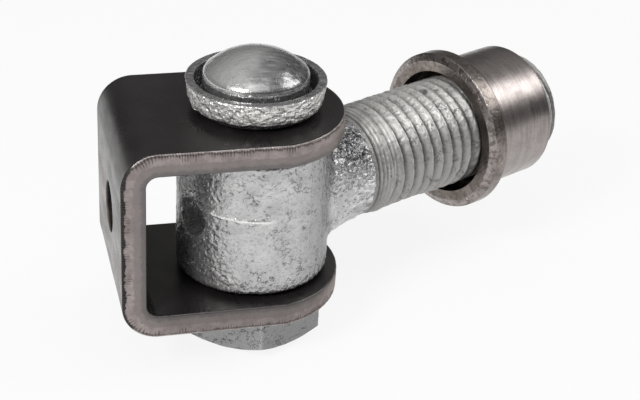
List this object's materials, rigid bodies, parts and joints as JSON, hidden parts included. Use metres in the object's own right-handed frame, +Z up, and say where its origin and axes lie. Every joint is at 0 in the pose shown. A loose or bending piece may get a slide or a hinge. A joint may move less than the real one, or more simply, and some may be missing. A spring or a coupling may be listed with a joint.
{
  "type": "weld on barrel hinge",
  "caption": "Adjustable weld on gate hinge: folded bracket with a captive pin, an eye bolt that swings on it, and a threaded sleeve to weld into the gate.",
  "frame": {"origin": "centre of the web's hole on the outer face of the web, the face that is welded to the post", "axes": "+X from the weld face towards the pin, +Z up along the pin, +Y completes the right-handed frame"},
  "size_m": [0.1293, 0.0786, 0.0777],
  "materials": {
    "plate_steel": "hot rolled plate with black mill scale on its faces and bare sheared edges",
    "zinc_steel": "hot dip galvanised, matt grey with small lumps and runs",
    "turned_steel": "bare turned steel with fine rings round its axis"
  },
  "bodies": {
    "bracket": {"bracket": "plate_steel", "hinge_pin": "zinc_steel", "cup_ring": "zinc_steel", "pin_nut": "zinc_steel"},
    "eye_bolt": {"eye_bolt": "zinc_steel"},
    "sleeve": {"weld_sleeve": "turned_steel"}
  },
  "joints": [
    {"name": "pin_swing", "type": "hinge", "parent": "bracket", "child": "eye_bolt", "pos_m": [0.03625, 0, 0], "axis": [0, 0, 1], "range_deg": [-144, 92]},
    {"name": "sleeve_travel", "type": "slide", "parent": "eye_bolt", "child": "sleeve", "axis": [0.8988, 0.4384, 0], "range_m": [-0.026, 0.008]}
  ]
}
